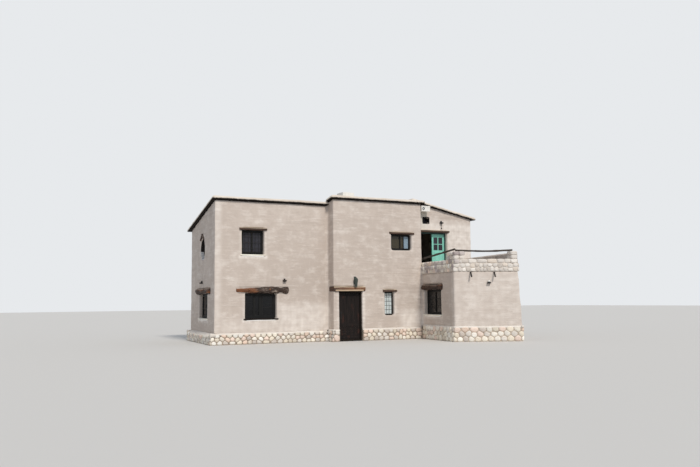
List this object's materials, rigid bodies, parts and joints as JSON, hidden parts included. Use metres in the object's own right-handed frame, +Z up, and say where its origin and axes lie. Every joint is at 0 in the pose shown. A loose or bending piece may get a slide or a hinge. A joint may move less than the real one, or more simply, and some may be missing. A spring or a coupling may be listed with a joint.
{
  "type": "adobe house",
  "caption": "Two-storey adobe house with stone plinth, log lintels, sloping mud roofs, an entrance bay with a hinged door and a terrace room with a stone parapet.",
  "frame": {"origin": "on the ground, at the middle of the house's length and in line with the fronts of its two wings, on the underside of the ground floor", "axes": "+X to the right along the front, +Y into the house, +Z up"},
  "size_m": [12.9758, 9.6042, 6.46],
  "materials": {
    "plaster": "rough mud plaster",
    "stone": "rough fieldstone",
    "mud": "dry mud",
    "timber": "dark weathered timber and cane",
    "log": "rough red-brown log",
    "dark_paint": "dark stained joinery",
    "aqua_paint": "worn aqua paint",
    "iron": "dull dark iron",
    "white_paint": "dull white paint",
    "glass": "clear window glass"
  },
  "bodies": {
    "root": {"ground_floor": "mud", "upper_floor": "mud", "terrace_floor": "mud", "front_plinth": "stone", "side_plinth": "stone", "back_plinth": "stone", "terrace_front_plinth": "stone", "terrace_side_plinth": "stone", "left_front_wall": "plaster", "left_side_wall": "plaster", "back_wall": "plaster", "right_side_wall": "plaster", "right_front_wall": "plaster", "cross_wall": "plaster", "bay_pier_wall": "plaster", "bay_over_door_wall": "plaster", "bay_front_wall": "plaster", "bay_return_wall": "plaster", "terrace_left_wall": "plaster", "terrace_front_wall": "plaster", "terrace_right_wall": "plaster", "roof_decks": "timber", "roof_mud": "mud", "roof_step_beam": "timber", "roof_cap": "white_paint", "rain_box": "white_paint", "terrace_front_parapet": "stone", "terrace_side_parapets": "stone", "terrace_pillars": "stone", "terrace_rail": "log", "drain_spouts": "iron", "log_lintels": "log", "board_lintels": "timber", "window_sills": "plaster", "window_frames": "dark_paint", "window_panes": "glass", "gable_sticks": "log", "door_frame": "timber", "door_hinges": "iron", "terrace_door_frame": "aqua_paint", "terrace_door_leaves": "aqua_paint", "entry_lantern": "iron", "wall_lamps": "iron"},
    "entry_door": {"door_leaf": "dark_paint", "door_handle": "iron"}
  },
  "joints": [
    {"name": "entry_door_hinge", "type": "hinge", "parent": "root", "child": "entry_door", "pos_m": [0.037, -0.317, 1], "axis": [0, 0, -1], "range_deg": [0, 90]}
  ]
}
